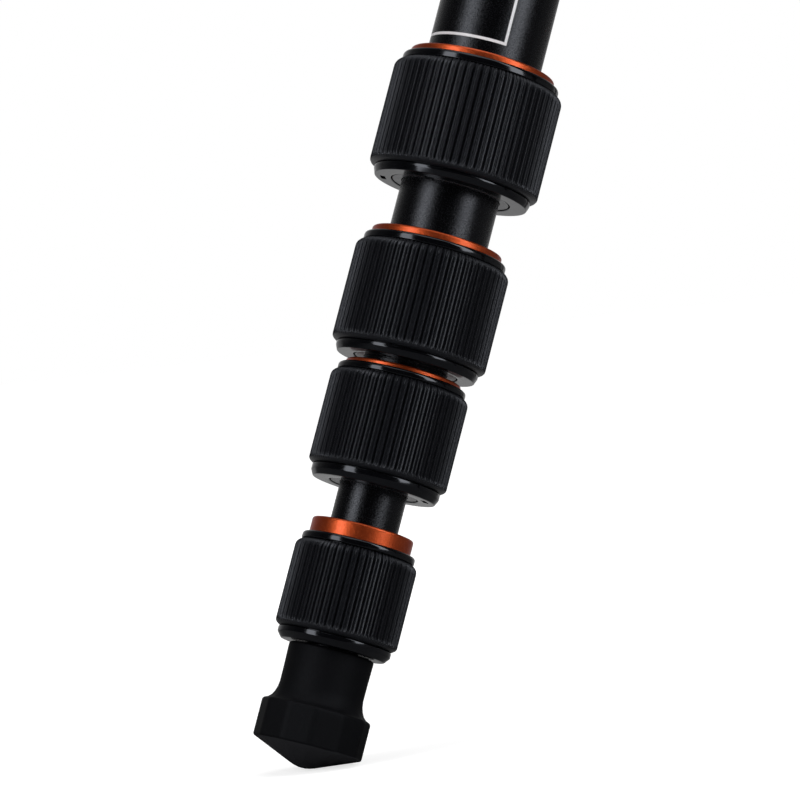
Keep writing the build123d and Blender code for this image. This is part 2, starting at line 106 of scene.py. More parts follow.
def turn(outline, steps=144):
    """Turns a closed outline on Z. Each point is (radius, height) or (radius, height, rounding), in mm."""
    form = bmesh.new()
    corners = [form.verts.new((point[0], 0, point[1])) for point in outline]
    form.faces.new(corners)
    roundings = {}
    for corner, point in zip(corners, outline):
        if len(point) > 2:
            roundings.setdefault(point[2], []).append(corner)
    for rounding, group in roundings.items():
        bmesh.ops.bevel(form, geom=group, offset=rounding, offset_type="OFFSET", segments=4, profile=0.5,
                        affect="VERTICES", material=-1)
    bmesh.ops.delete(form, geom=form.faces[:], context="FACES_ONLY")
    bmesh.ops.spin(form, geom=form.verts[:] + form.edges[:], cent=(0, 0, 0), axis=(0, 0, 1), dvec=(0, 0, 0),
                   angle=2 * pi, steps=steps, use_merge=True, use_duplicate=False)
    bmesh.ops.remove_doubles(form, verts=form.verts[:], dist=1e-5)
    bmesh.ops.recalc_face_normals(form, faces=form.faces[:])
    return form


def piece(name, form, place, body, material, replaced=(), sharp=38):
    """Makes a placed, smooth-shaded object of a mesh in mm and lets it ride on a body."""
    form = form.copy()
    form.transform(place)
    bmesh.ops.recalc_face_normals(form, faces=form.faces[:])
    mesh = bpy.data.meshes.new(name)
    form.to_mesh(mesh)
    form.free()
    mesh.polygons.foreach_set("use_smooth", [True] * len(mesh.polygons))
    mesh.set_sharp_from_angle(angle=radians(sharp))
    mesh.materials.append(material)
    made = bpy.data.objects.new(name, mesh)
    bpy.context.scene.collection.objects.link(made)
    even = made.modifiers.new("even_shading", "WEIGHTED_NORMAL")
    even.keep_sharp = True
    even.weight = 80
    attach(made, body)
    if replaced:
        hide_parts(*replaced)
    return made


def new_group(name, inputs, outputs):
    """An empty node group with named sockets, each (name, type, value)."""
    group = bpy.data.node_groups.new(name, "ShaderNodeTree")
    for label, kind, value in inputs:
        made = group.interface.new_socket(name=label, in_out="INPUT", socket_type=kind)
        made.default_value = value
    for label, kind in outputs:
        group.interface.new_socket(name=label, in_out="OUTPUT", socket_type=kind)
    return group, group.nodes.new("NodeGroupInput"), group.nodes.new("NodeGroupOutput")


# How much the slow drift counts beside the grain
CLOUD_SHARE = 0.15


def fine_grain_group():
    """Blasted or moulded grain: small bumps, and a roughness and a colour that vary with them."""
    group, given, out = new_group(
        "fine_grain",
        [("Grains per metre", "NodeSocketFloat", 3000.0), ("Depth", "NodeSocketFloat", 0.02),
         ("Roughness", "NodeSocketFloat", 0.4), ("Roughness spread", "NodeSocketFloat", 0.1),
         ("Colour", "NodeSocketColor", (0.02, 0.02, 0.02, 1)),
         ("Speck colour", "NodeSocketColor", (0.05, 0.05, 0.05, 1)),
         ("Speck share", "NodeSocketFloat", 0.3)],
        [("Colour", "NodeSocketColor"), ("Roughness", "NodeSocketFloat"), ("Normal", "NodeSocketVector")])
    make, link = group.nodes.new, group.links.new
    where = make("ShaderNodeTexCoord")
    grain = make("ShaderNodeTexNoise")
    grain.inputs["Detail"].default_value = 3.0
    grain.inputs["Roughness"].default_value = 0.65
    link(where.outputs["Object"], grain.inputs["Vector"])
    link(given.outputs["Grains per metre"], grain.inputs["Scale"])
    cloud = make("ShaderNodeTexNoise")
    cloud.inputs["Scale"].default_value = 90.0
    cloud.inputs["Detail"].default_value = 2.0
    link(where.outputs["Object"], cloud.inputs["Vector"])
    bump = make("ShaderNodeBump")
    bump.inputs["Distance"].default_value = 0.0001
    link(given.outputs["Depth"], bump.inputs["Strength"])
    link(grain.outputs["Fac"], bump.inputs["Height"])
    link(bump.outputs["Normal"], out.inputs["Normal"])
    both = make("ShaderNodeMath")
    both.operation = "MULTIPLY_ADD"
    link(cloud.outputs["Fac"], both.inputs[0])
    both.inputs[1].default_value = CLOUD_SHARE
    link(grain.outputs["Fac"], both.inputs[2])
    centred = make("ShaderNodeMath")
    centred.operation = "SUBTRACT"
    link(both.outputs[0], centred.inputs[0])
    centred.inputs[1].default_value = (1 + CLOUD_SHARE) / 2
    rough = make("ShaderNodeMath")
    rough.operation = "MULTIPLY_ADD"
    link(centred.outputs[0], rough.inputs[0])
    link(given.outputs["Roughness spread"], rough.inputs[1])
    link(given.outputs["Roughness"], rough.inputs[2])
    link(rough.outputs[0], out.inputs["Roughness"])
    speck = make("ShaderNodeMapRange")
    speck.inputs["From Min"].default_value = 0.52
    speck.inputs["From Max"].default_value = 0.72
    link(grain.outputs["Fac"], speck.inputs["Value"])
    share = make("ShaderNodeMath")
    share.operation = "MULTIPLY"
    link(speck.outputs["Result"], share.inputs[0])
    link(given.outputs["Speck share"], share.inputs[1])
    mix = make("ShaderNodeMix")
    mix.data_type = "RGBA"
    link(share.outputs[0], mix.inputs["Factor"])
    link(given.outputs["Colour"], mix.inputs["A"])
    link(given.outputs["Speck colour"], mix.inputs["B"])
    link(mix.outputs["Result"], out.inputs["Colour"])
    return group


fine_grain = fine_grain_group()
# A bluish tint painted on every reflection, standing in for cool light in the room.
MIRROR_TINT = (0.86, 0.90, 1.0, 1)


def grained(name, colour, speck, share, rough, spread, grains, depth,
            metallic=0.0, coat=0.0, coat_rough=0.1, specular=0.5):
    """A material whose colour, roughness and bumps come from the fine grain."""
    material = bpy.data.materials.new(name)
    material.use_nodes = True
    tree = material.node_tree
    shader = tree.nodes["Principled BSDF"]
    grain = tree.nodes.new("ShaderNodeGroup")
    grain.node_tree = fine_grain
    for label, value in (("Grains per metre", grains), ("Depth", depth), ("Roughness", rough),
                         ("Roughness spread", spread), ("Colour", (*colour, 1)),
                         ("Speck colour", (*speck, 1)), ("Speck share", share)):
        grain.inputs[label].default_value = value
    tree.links.new(grain.outputs["Colour"], shader.inputs["Base Color"])
    tree.links.new(grain.outputs["Roughness"], shader.inputs["Roughness"])
    tree.links.new(grain.outputs["Normal"], shader.inputs["Normal"])
    shader.inputs["Metallic"].default_value = metallic
    shader.inputs["Coat Weight"].default_value = coat
    shader.inputs["Coat Roughness"].default_value = coat_rough
    shader.inputs["Specular IOR Level"].default_value = specular
    shader.inputs["Specular Tint"].default_value = MIRROR_TINT
    return material


black_anodised = grained("black_anodised", (0.0005, 0.0005, 0.0008), (0.003, 0.003, 0.004), 0.4,
                         rough=0.24, spread=0.45, grains=4200, depth=0.4)

# The printed frame runs up tube 1 and round it to the left, and nothing is printed inside it here.
PRINT_LINE = 0.55
PRINT_BOTTOM, PRINT_TOP = 140.0, 186.0
PRINT_RIGHT, PRINT_LEFT = FRONT + 17.5, FRONT - 150.0


def printed_tube(leg):
    """Black anodising with a thin white frame, found from the height and the angle about the tube."""
    material = black_anodised.copy()
    material.name = f"printed_tube_{leg}"
    tree = material.node_tree
    make, link = tree.nodes.new, tree.links.new
    shader = tree.nodes["Principled BSDF"]
    grain = next(node for node in tree.nodes if node.type == "GROUP")
    where = make("ShaderNodeTexCoord")
    to_leg = make("ShaderNodeMapping")
    to_leg.vector_type = "TEXTURE"
    to_leg.inputs["Location"].default_value = PLACES[leg].to_translation()
    to_leg.inputs["Rotation"].default_value = PLACES[leg].to_euler()
    link(where.outputs["Object"], to_leg.inputs["Vector"])
    axes = make("ShaderNodeSeparateXYZ")
    link(to_leg.outputs["Vector"], axes.inputs["Vector"])

    def sums(operation, a, b=None, c=None):
        node = make("ShaderNodeMath")
        node.operation = operation
        for slot, value in enumerate((a, b, c)):
            if isinstance(value, (int, float)):
                node.inputs[slot].default_value = value
            elif value is not None:
                link(value, node.inputs[slot])
        return node.outputs[0]

    middle = radians((PRINT_RIGHT + PRINT_LEFT) / 2)
    half = radians((PRINT_RIGHT - PRINT_LEFT) / 2) * TUBE_RADII[0]
    x = sums("ADD", sums("MULTIPLY", axes.outputs["X"], cos(middle)),
             sums("MULTIPLY", axes.outputs["Y"], sin(middle)))
    y = sums("SUBTRACT", sums("MULTIPLY", axes.outputs["Y"], cos(middle)),
             sums("MULTIPLY", axes.outputs["X"], sin(middle)))
    round_it = sums("MULTIPLY", sums("ABSOLUTE", sums("ARCTAN2", y, x)), TUBE_RADII[0])
    height = sums("MULTIPLY", axes.outputs["Z"], 1000.0)
    up = sums("ABSOLUTE", sums("SUBTRACT", height, (PRINT_TOP + PRINT_BOTTOM) / 2))
    half_up = (PRINT_TOP - PRINT_BOTTOM) / 2
    # How far inside the frame's outer edge a point lies, negative outside
    inside = sums("MINIMUM", sums("SUBTRACT", half, round_it), sums("SUBTRACT", half_up, up))
    outer = make("ShaderNodeMapRange")
    inner = make("ShaderNodeMapRange")
    for node, edge, low, high in ((outer, 0.0, 0.0, 1.0), (inner, PRINT_LINE, 1.0, 0.0)):
        link(inside, node.inputs["Value"])
        node.inputs["From Min"].default_value = edge - 0.04
        node.inputs["From Max"].default_value = edge + 0.04
        node.inputs["To Min"].default_value = low
        node.inputs["To Max"].default_value = high
    ink = sums("MULTIPLY", outer.outputs["Result"], inner.outputs["Result"])
    mix = make("ShaderNodeMix")
    mix.data_type = "RGBA"
    link(ink, mix.inputs["Factor"])
    link(grain.outputs["Colour"], mix.inputs["A"])
    mix.inputs["B"].default_value = (0.88, 0.88, 0.90, 1)
    link(mix.outputs["Result"], shader.inputs["Base Color"])
    return material


for n, (radius, low, high) in enumerate(zip(TUBE_RADII, TUBE_BOTTOMS, TUBE_TOPS)):
    bore = radius - TUBE_WALL
    tube = turn([(bore, low, 0.2), (radius, low, 0.2), (radius, high, 0.2), (bore, high, 0.2)])
    for leg in LEGS:
        finish = printed_tube(leg) if n == 0 else black_anodised
        piece(f"leg_{leg}_section_{n + 1}_tube", tube, PLACES[leg], f"leg_{leg}_section_{n + 1}", finish,
              [f"leg_{leg}_tube_{n + 1}"])
    tube.free()


# Lock collars
# A collar of turned aluminium is bonded on the lower end of each of the four outer tubes. It is anodised
# orange, and its flange shows above the lock as a bright ring. A thread below it carries the lock.
RING_TOPS = [137.4, 102.3, 76.6, 46.1]
RING_RADII = [14.0, 12.6, 11.15, 9.75]
SHELL_BOTTOMS = [112.1, 77.7, 53.6, 22.6]
THREAD_LOWS = [3.2, 3.2, 3.2, 5.2]
RING_DEPTH = 6.0
THREAD_OVER_TUBE = 2.0
BUSH_WALL = 1.8
RUNNING_GAP = 0.15

orange_anodised = grained("orange_anodised", (0.58, 0.086, 0.020), (0.85, 0.18, 0.06), 0.4,
                          rough=0.36, spread=0.20, grains=2400, depth=0.5,
                          metallic=0.9, coat=0.22, coat_rough=0.2)

for n, (top, edge) in enumerate(zip(RING_TOPS, RING_RADII)):
    tube, thread = TUBE_RADII[n], TUBE_RADII[n] + THREAD_OVER_TUBE
    room = TUBE_RADII[n + 1] + BUSH_WALL + 2 * RUNNING_GAP
    low = SHELL_BOTTOMS[n] + THREAD_LOWS[n]
    collar = turn([
        (room, low), (thread - 0.6, low), (thread, low + 0.8), (thread, top - RING_DEPTH),
        (edge, top - RING_DEPTH), (edge, top, 0.45), (tube + 0.02, top, 0.1),
        (tube + 0.02, TUBE_BOTTOMS[n]), (room, TUBE_BOTTOMS[n]),
    ])
    for leg in LEGS:
        piece(f"leg_{leg}_collar_{n + 1}", collar, PLACES[leg], f"leg_{leg}_section_{n + 1}",
              orange_anodised, [f"leg_{leg}_lock_{n + 1}_collar"] if leg == "a" else ())
    collar.free()


# Lock shells
# The shell turns on the collar's thread and wedges the bush on the next tube. It is turned aluminium,
# polished and anodised glossy black, with a rounded rim above, a seat for the rubber sleeve and a
# chamfered lip below.
SHELL_TOPS = [136.1, 100.9, 75.7, 43.1]
SHELL_RADII = [15.2, 13.75, 12.35, 10.85]
GRIP_TOPS = [134.5, 99.3, 74.3, 41.6]
GRIP_BOTTOMS = [113.8, 79.5, 55.9, 24.8]
GRIP_RADII = [16.35, 14.85, 13.3, 11.7]
SEAT_UNDER_GRIP = 1.62
NOTCH_ANGLES = [FRONT - 97.0, FRONT, FRONT + 75.0, FRONT]
NOTCH_WIDE, NOTCH_LONG, NOTCH_DEEP = 1.0, 2.8, 0.7
FOOT_CHAMFERS = [0.4, 0.45, 0.55, 0.9]
CHAMFER_HEIGHT, LIP_HEIGHT = 1.1, 2.6

gloss_black = grained("gloss_black", (0.0018, 0.0019, 0.0026), (0.003, 0.003, 0.004), 0.3,
                      rough=0.13, spread=0.04, grains=900, depth=0.03)


def lock_shell(n):
    """Turns one lock's shell and sinks a notch for a hook spanner into its lower face."""
    outer, top, low = SHELL_RADII[n], SHELL_TOPS[n], SHELL_BOTTOMS[n]
    seat, seat_low, seat_high = GRIP_RADII[n] - SEAT_UNDER_GRIP, GRIP_BOTTOMS[n] - 0.12, GRIP_TOPS[n] + 0.05
    mouth, mouth_floor = RING_RADII[n] + RUNNING_GAP, RING_TOPS[n] - RING_DEPTH - 3.0
    thread = TUBE_RADII[n] + THREAD_OVER_TUBE + RUNNING_GAP
    lip = TUBE_RADII[n + 1] + BUSH_WALL + 2 * RUNNING_GAP
    lower_edge = outer - FOOT_CHAMFERS[n]
    middle = (lower_edge + lip) / 2
    shell = turn([
        (lip, low, 0.2), (middle - NOTCH_WIDE / 2, low), (middle + NOTCH_WIDE / 2, low),
        (lower_edge, low, 0.15), (outer, low + CHAMFER_HEIGHT, 0.15), (outer, seat_low, 0.15),
        (seat, seat_low), (seat, seat_high), (outer, seat_high, 0.25), (outer, top, 0.6),
        (mouth, top, 0.15), (mouth, mouth_floor), (thread, mouth_floor),
        (thread, low + LIP_HEIGHT), (lip, low + LIP_HEIGHT),
    ])
    notch_angle = radians(NOTCH_ANGLES[n])
    aim_at = Vector((cos(notch_angle), sin(notch_angle))) * middle
    mouth_faces = [
        face for face in shell.faces
        if face.normal.z < -0.9 and abs(face.calc_center_median().xy.length - middle) < 0.1
        and (face.calc_center_median().xy - aim_at).length < NOTCH_LONG / 2
    ]
    sunk = bmesh.ops.extrude_face_region(shell, geom=mouth_faces)
    corners = [item for item in sunk["geom"] if isinstance(item, bmesh.types.BMVert)]
    bmesh.ops.translate(shell, verts=corners, vec=(0, 0, NOTCH_DEEP))
    bmesh.ops.delete(shell, geom=mouth_faces, context="FACES_ONLY")
    return shell


for n in range(len(SHELL_TOPS)):
    shell = lock_shell(n)
    for leg in LEGS:
        replaced = [f"leg_{leg}_lock_{n + 1}_shell"] if leg == "a" else [f"leg_{leg}_lock_{n + 1}"]
        piece(f"leg_{leg}_shell_{n + 1}", shell, PLACES[leg], f"leg_{leg}_lock_{n + 1}", gloss_black,
              replaced)
    shell.free()


# Lock sleeves
# A sleeve of moulded rubber is stretched into the shell's seat. Rounded ribs run up and down it: at the
# top they end on the rounded shoulder, and at the bottom they stop short of the chamfer like teeth.
RIB_COUNTS = [65, 60, 55, 48]
RIB_DEPTH = 0.62
STEPS_PER_RIB = 12
# Depth at each step from the middle of a rib's crest, which is hollow, to the middle of the groove
RIB_FORM = [0.62, 0.50, 0.16, 0.0, 0.16, 0.78, 1.0]

grip_rubber = grained("grip_rubber", (0.0060, 0.0064, 0.0084), (0.012, 0.012, 0.016), 0.5,
                      rough=0.38, spread=0.14, grains=2600, depth=0.4, specular=0.42)


def ribbed_sleeve(radius, inner, low, high, ribs):
    """Turns the plain sleeve in steps that divide each rib evenly, then presses the grooves in."""
    sleeve = turn([
        (inner, low), (radius - 1.15, low), (radius - 0.8, low + 0.14), (radius - 0.28, low + 0.5),
        (radius - 0.06, low + 0.8), (radius, low + 1.15), (radius, low + 1.5), (radius, low + 1.85),
        (radius, high - 1.6), (radius - 0.03, high - 1.15), (radius - 0.2, high - 0.7),
        (radius - 0.52, high - 0.33), (radius - 0.88, high - 0.1), (radius - 1.15, high), (inner, high),
    ], steps=ribs * STEPS_PER_RIB)
    for corner in sleeve.verts:
        reach = corner.co.xy.length
        if reach < radius - 1.3:
            continue
        turns = Vector((1, 0)).angle_signed(corner.co.xy, 0.0) / (2 * pi) * ribs * STEPS_PER_RIB
        step = round(turns) % STEPS_PER_RIB
        form = RIB_FORM[min(step, STEPS_PER_RIB - step)]
        fade = min(1.0, max(0.0, (corner.co.z - low - 0.75) / 0.4))
        reach_in = RIB_DEPTH * form * fade
        corner.co.xy *= (reach - reach_in) / reach
    return sleeve


for n, (radius, low, high) in enumerate(zip(GRIP_RADII, GRIP_BOTTOMS, GRIP_TOPS)):
    sleeve = ribbed_sleeve(radius, radius - SEAT_UNDER_GRIP, low, high, RIB_COUNTS[n])
    for leg in LEGS:
        piece(f"leg_{leg}_sleeve_{n + 1}", sleeve, PLACES[leg], f"leg_{leg}_lock_{n + 1}", grip_rubber,
              [f"leg_{leg}_lock_{n + 1}_grip"] if leg == "a" else (), sharp=60)
    sleeve.free()


# Lock bushes
# Inside each lock a split bush of hard plastic closes on the tube as the lock is turned home. Its lower
# end and the slit in it show in the lip's mouth.
BUSH_RISE, BUSH_LENGTH = 0.15, 8.5
BUSH_SLIT = 14.0
SLIT_ANGLE = FRONT - 27.0

bush_plastic = grained("bush_plastic", (0.05, 0.05, 0.055), (0.07, 0.07, 0.075), 0.3,
                       rough=0.25, spread=0.1, grains=2000, depth=0.2)


def split_bush(bore, outer, low, high):
    """An open ring: an outline turned most of the way round and closed at both ends."""
    form = bmesh.new()
    outline = [(bore, low), (outer, low), (outer, high - 3.0), (outer - 0.7, high), (bore, high)]
    section = form.faces.new([form.verts.new((x, 0, z)) for x, z in outline])
    bmesh.ops.spin(form, geom=[section], cent=(0, 0, 0), axis=(0, 0, 1), dvec=(0, 0, 0),
                   angle=radians(360 - BUSH_SLIT), steps=96, use_merge=False, use_duplicate=False)
    bmesh.ops.remove_doubles(form, verts=form.verts[:], dist=1e-5)
    bmesh.ops.holes_fill(form, edges=[edge for edge in form.edges if edge.is_boundary], sides=0)
    bmesh.ops.recalc_face_normals(form, faces=form.faces[:])
    form.transform(Matrix.Rotation(radians(SLIT_ANGLE + BUSH_SLIT / 2), 4, "Z"))
    return form


for n, low in enumerate(SHELL_BOTTOMS):
    tube = TUBE_RADII[n + 1]
    start = low + BUSH_RISE
    bush = split_bush(tube + RUNNING_GAP, tube + BUSH_WALL, start, start + BUSH_LENGTH)
    for leg in LEGS:
        body = f"leg_{leg}_feed_{n + 1}" if leg == "a" else f"leg_{leg}_section_{n + 1}"
        piece(f"leg_{leg}_bush_{n + 1}", bush, PLACES[leg], body, bush_plastic,
              [f"leg_{leg}_lock_{n + 1}_bush"] if leg == "a" else ())
    bush.free()


# Feet
# Each foot is one moulding of dull black rubber, pushed on the smallest tube: a round neck that flares to
# a body of twelve flats, and below them a shallow cone with a blunt tip.
FOOT_CORNER = 10.5
FOOT_FLATS = 12
CONE_SLOPE = 22.5

foot_rubber = grained("foot_rubber", (0.0018, 0.0018, 0.0024), (0.0045, 0.0045, 0.005), 0.4,
                      rough=0.62, spread=0.1, grains=1800, depth=0.35, specular=0.14)
# Painted light: a lighter colour on the cone's downward faces, standing in for light from below.
CONE_PAINTED_LIGHT = (0.020, 0.020, 0.023, 1)


def paint_light_on_cone():
    """Lightens the rubber where it faces the ground, which is only on the cone: painted light, standing in
    for the light that reaches the cone from below.
    """
    tree = foot_rubber.node_tree
    make, link = tree.nodes.new, tree.links.new
    grain = next(node for node in tree.nodes if node.type == "GROUP")
    where = make("ShaderNodeTexCoord")
    facing = make("ShaderNodeSeparateXYZ")
    link(where.outputs["Normal"], facing.inputs["Vector"])
    down = make("ShaderNodeMapRange")
    down.inputs["From Min"].default_value = -0.45
    down.inputs["From Max"].default_value = -0.65
    link(facing.outputs["Z"], down.inputs["Value"])
    mix = make("ShaderNodeMix")
    mix.data_type = "RGBA"
    link(down.outputs["Result"], mix.inputs["Factor"])
    link(grain.outputs["Colour"], mix.inputs["A"])
    mix.inputs["B"].default_value = CONE_PAINTED_LIGHT
    link(mix.outputs["Result"], tree.nodes["Principled BSDF"].inputs["Base Color"])


paint_light_on_cone()


def rubber_foot():
    """Turns the foot round, then draws its body and cone in to the flats."""
    rise = tan(radians(CONE_SLOPE))
    foot = turn([
        (0, 0.02), (0.7, 0.03), (1.5, 0.2), (2.3, -0.5 + 2.3 * rise), (4.5, -0.5 + 4.5 * rise),
        (7.5, -0.5 + 7.5 * rise), (FOOT_CORNER, -0.5 + FOOT_CORNER * rise, 0.35), (FOOT_CORNER, 6.5),
        (FOOT_CORNER, 9.5), (FOOT_CORNER, 11.0, 0.45), (10.1, 11.15), (9.5, 11.4), (8.9, 11.95),
        (8.45, 12.75), (8.15, 13.7), (8.02, 14.8), (8.05, 18.0), (8.15, 22.4, 0.5),
        (TUBE_RADII[4] + 0.02, 22.4), (TUBE_RADII[4] + 0.02, TUBE_BOTTOMS[4] - 0.02),
        (0, TUBE_BOTTOMS[4] - 0.02),
    ], steps=FOOT_FLATS * 16)
    flat = 2 * pi / FOOT_FLATS
    across = FOOT_CORNER * cos(flat / 2)
    for corner in foot.verts:
        reach = corner.co.xy.length
        if reach < 1.0 or corner.co.z > 14.0 or (reach < TUBE_RADII[4] + 0.1 and corner.co.z > 3.5):
            continue
        turns = Vector((1, 0)).angle_signed(corner.co.xy, 0.0) + radians(FRONT)
        off_middle = (turns % flat) - flat / 2
        limit = min(across / cos(off_middle), FOOT_CORNER - 0.09)
        share = min(1.0, max(0.0, (13.0 - corner.co.z) / 2.0)) * min(1.0, max(0.0, (reach - 1.0) / 5.0))
        corner.co.xy *= 1 + share * (limit / FOOT_CORNER - 1)
    return foot


foot = rubber_foot()
for leg in LEGS:
    piece(f"leg_{leg}_foot_rubber", foot, PLACES[leg], f"leg_{leg}_section_5", foot_rubber,
          [f"leg_{leg}_foot"], sharp=30)
foot.free()


# Yokes, angle tabs and hub
# The hub and the yokes at the legs' heads are magnesium castings with a fine powder coat. The stop in
# each yoke's heel is turned from aluminium and anodised orange, and steel bolts hold the legs between the
# hub's ears.
black_casting = grained("black_casting", (0.018, 0.018, 0.02), (0.05, 0.05, 0.052), 0.4,
                        rough=0.5, spread=0.15, grains=1500, depth=0.9)
bright_steel = grained("bright_steel", (0.55, 0.55, 0.56), (0.7, 0.7, 0.7), 0.3,
                       rough=0.28, spread=0.1, grains=2500, depth=0.15, metallic=1.0)


def softened(name, width, *finishes):
    """Replaces a cast or machined CAD node by a copy whose sharp edges are rounded by a width in mm.

    Each finish is a material and a test on a face's middle, in mm about the hinge bolts' height. The last
    that passes gives the face its material."""
    form = bmesh.new()
    form.from_mesh(nodes[name].data)
    form.transform(ON_COLUMN.inverted() @ nodes[name].matrix_world)
    bmesh.ops.remove_doubles(form, verts=form.verts[:], dist=0.002)
    bmesh.ops.dissolve_limit(form, angle_limit=radians(1.5), use_dissolve_boundaries=False,
                             verts=form.verts[:], edges=form.edges[:], delimit=set())
    sharp = [edge for edge in form.edges if edge.is_manifold and edge.calc_face_angle(0.0) > radians(32)]
    bmesh.ops.bevel(form, geom=sharp, offset=width, offset_type="OFFSET", segments=2, profile=0.5,
                    affect="EDGES", clamp_overlap=True, material=-1)
    for index, (material, test) in enumerate(finishes):
        for face in form.faces:
            if test(face.calc_center_median()):
                face.material_index = index
    made = piece(f"{name}_softened", form, ON_COLUMN, body_of(nodes[name])[0], finishes[0][0], [name],
                 sharp=50)
    for material, test in finishes[1:]:
        made.data.materials.append(material)
    form.free()


def everywhere(middle):
    return True


for leg in LEGS:
    softened(f"leg_{leg}_yoke", 0.45, (black_casting, everywhere))
    softened(f"leg_{leg}_angle_tab", 0.25, (orange_anodised, everywhere))
softened("hub", 0.45, (black_casting, everywhere))
softened("hinge_bolts", 0.2, (bright_steel, everywhere))

band = turn([(13.0, 13.02), (13.62, 13.02, 0.1), (13.62, 15.9, 0.1), (13.0, 15.9)])
piece("column_collar_band", band, ON_COLUMN, "chassis", orange_anodised, ())
band.free()


# Column
# The column slides in the hub and carries the head. Its lock is made as the legs' are, and a cap with a
# lug for the weight ring closes its lower end.
COLUMN_SHELL_LOW, COLUMN_SHELL_HIGH = 15.2, 36.2
COLUMN_GRIP = (17.2, 34.2)

column_shell = turn([
    (13.75, COLUMN_SHELL_LOW), (14.6, COLUMN_SHELL_LOW, 0.2), (14.6, 17.1, 0.1), (14.18, 17.1),
    (14.18, 34.3), (14.6, 34.3, 0.1), (14.6, COLUMN_SHELL_HIGH, 1.0), (10.15, COLUMN_SHELL_HIGH, 0.2),
    (10.15, 33.2), (12.35, 33.2), (12.35, 18.3), (13.75, 18.3),
])
column_sleeve = ribbed_sleeve(15.8, 14.28, *COLUMN_GRIP, 58)
piece("column_shell", column_shell, ON_COLUMN, "column_lock", gloss_black, ["column_lock"])
piece("column_sleeve", column_sleeve, ON_COLUMN, "column_lock", grip_rubber, (), sharp=60)
column_shell.free()
column_sleeve.free()
softened("column_tube", 0.15, (black_anodised, everywhere))
softened("column_cap", 0.3, (gloss_black, everywhere))
softened("weight_ring", 0.1, (bright_steel, everywhere))


# Ball head
# A machined head in black anodised aluminium pans on the column's plate. Its ball carries a clamp, in
# which an orange plate with a rubber pad holds the camera by a quarter inch screw. Heights are over the
# hinge bolts, in mm.
PLATE_TOP = 45.0
BALL_HEIGHT, BALL_RADIUS = 68.0, 12.5
CLAMP_TOP = 94.2
CAMERA_SCREW_RADIUS = 3.175

pad_rubber = grained("pad_rubber", (0.012, 0.012, 0.013), (0.02, 0.02, 0.022), 0.4,
                     rough=0.62, spread=0.1, grains=1500, depth=0.4)
polished_steel = grained("polished_steel", (0.60, 0.60, 0.62), (0.7, 0.7, 0.7), 0.2,
                         rough=0.12, spread=0.03, grains=900, depth=0.03, metallic=1.0)


def over_plate(middle):
    return middle.z > PLATE_TOP + 0.02


def on_ball(middle):
    return (middle - Vector((0, 0, BALL_HEIGHT))).length < BALL_RADIUS + 0.02


def over_camera_plate(middle):
    return middle.z > CLAMP_TOP + 3.62


def on_camera_screw(middle):
    return middle.xy.length < CAMERA_SCREW_RADIUS + 0.05 and middle.z > CLAMP_TOP


softened("head_plate", 0.2, (black_anodised, everywhere), (pad_rubber, over_plate))
softened("head_housing", 0.3, (black_anodised, everywhere))
softened("head_clamp", 0.3, (black_anodised, everywhere), (polished_steel, on_ball))
softened("camera_plate", 0.3, (orange_anodised, everywhere), (pad_rubber, over_camera_plate),
         (bright_steel, on_camera_screw))
softened("head_knob", 0.3, (gloss_black, everywhere))
softened("clamp_knob", 0.25, (gloss_black, everywhere))


# Camera
# A long lens looks almost level at the lower half of leg a, from the leg's own FRONT side, so that the
# leg's head leans away from it and to the right.
FOCAL_PIXELS, FRAME_PIXELS = 4594.0, 800
SENSOR = 36.0
LEAN_RIGHT = 14.46
LEAN_BACK = 7.5
AIM_HEIGHT = 71.4
DISTANCE = 863.9
AIM_OFFSET = (0.58, -0.11)

leg_axes = PLACES["a"].to_3x3().normalized()
leg_up = leg_axes.col[2].copy()
to_front = leg_axes @ Vector((cos(radians(FRONT)), sin(radians(FRONT)), 0))
look = (leg_up * sin(radians(LEAN_BACK)) - to_front * cos(radians(LEAN_BACK))).normalized()
seen_up = ((leg_up - look * sin(radians(LEAN_BACK))) / cos(radians(LEAN_BACK))).normalized()
seen_side = look.cross(seen_up)
lean = radians(LEAN_RIGHT)
right = seen_side * cos(lean) + seen_up * sin(lean)
up = seen_up * cos(lean) - seen_side * sin(lean)
aim = PLACES["a"] @ Vector((0, 0, AIM_HEIGHT))
spot = aim + (right * AIM_OFFSET[0] + up * AIM_OFFSET[1] - look * DISTANCE) * 0.001
camera = bpy.data.objects.new("camera", bpy.data.cameras.new("camera"))
bpy.context.scene.collection.objects.link(camera)
camera.matrix_world = Matrix.Translation(spot) @ Matrix((right, up, -look)).transposed().to_4x4()
camera.data.sensor_width = SENSOR
camera.data.lens = FOCAL_PIXELS / FRAME_PIXELS * SENSOR
camera.data.clip_start, camera.data.clip_end = 0.05, 100.0
bpy.context.scene.camera = camera


# Floor and light
# The studio is white: a seamless floor that keeps a soft shadow, a bright ground behind, and a tall soft
# box on either side of the camera, which draw the two streaks on every tube and collar. Distances on the
# floor are in metres.
PAPER_WHITE = 0.8
GLOW = (0.72, 1.0)
GLOW_REACH = (0.22, 0.6)
# The paper's colour to the object's mirrors, from before the leg to behind it: painted darker than the
# paper, most before and beside the leg, a painted shade seen only in reflections.
MIRRORED_WHITE = (0.22, 0.42)
MIRRORED_GLOW = 0.26
BEHIND_LEG = (0.02, 0.14)
LAG_ASIDE = 0.9


